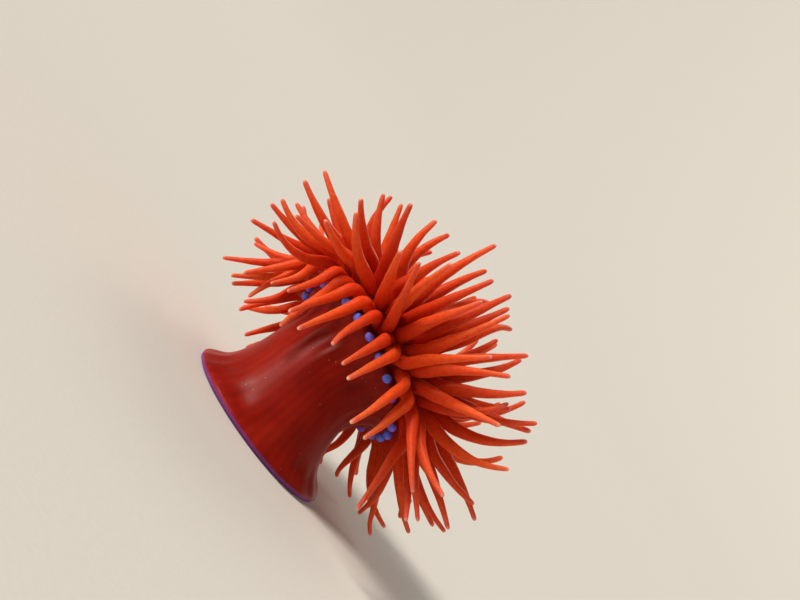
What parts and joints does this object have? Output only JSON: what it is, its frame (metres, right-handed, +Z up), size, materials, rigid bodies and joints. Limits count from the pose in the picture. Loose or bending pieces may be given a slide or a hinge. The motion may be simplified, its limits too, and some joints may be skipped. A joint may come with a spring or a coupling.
{
  "type": "beadlet anemone",
  "caption": "Life-size still model of an open red sea anemone: a flared foot, a short leaning column, a collar ringed with blue beads, and a crown of tapering tentacles round its mouth.",
  "frame": {"origin": "middle of the pedal disc's flat sole, on the floor", "axes": "+Z up, square to the sole; the column leans 28.7 degrees from +Z, towards +Y and a little towards +X; -Y is the side that the picture shows"},
  "size_m": [0.0657, 0.0624, 0.0519],
  "materials": {
    "column_skin": "smooth wet skin, satin",
    "disc_skin": "smooth wet skin, satin",
    "lip_skin": "smooth wet skin, satin",
    "tentacle_skin": "translucent wet skin, satin",
    "bead_skin": "smooth wet skin, glossy"
  },
  "bodies": {
    "root": {"pedal_disc": "column_skin", "column": "column_skin", "collar": "column_skin", "oral_disc": "disc_skin", "mouth": "lip_skin", "bead_01": "bead_skin", "bead_02": "bead_skin", "bead_03": "bead_skin", "bead_04": "bead_skin", "bead_05": "bead_skin", "bead_06": "bead_skin", "bead_07": "bead_skin", "bead_08": "bead_skin", "bead_09": "bead_skin", "bead_10": "bead_skin", "bead_11": "bead_skin", "bead_12": "bead_skin", "bead_13": "bead_skin", "bead_14": "bead_skin", "bead_15": "bead_skin", "bead_16": "bead_skin", "bead_17": "bead_skin", "bead_18": "bead_skin", "bead_19": "bead_skin", "bead_20": "bead_skin", "bead_21": "bead_skin", "bead_22": "bead_skin", "bead_23": "bead_skin", "bead_24": "bead_skin", "tentacles_1": "tentacle_skin", "tentacles_2": "tentacle_skin", "tentacles_3": "tentacle_skin", "tentacles_4": "tentacle_skin", "tentacles_5": "tentacle_skin", "tentacles_6": "tentacle_skin"}
  },
  "joints": []
}
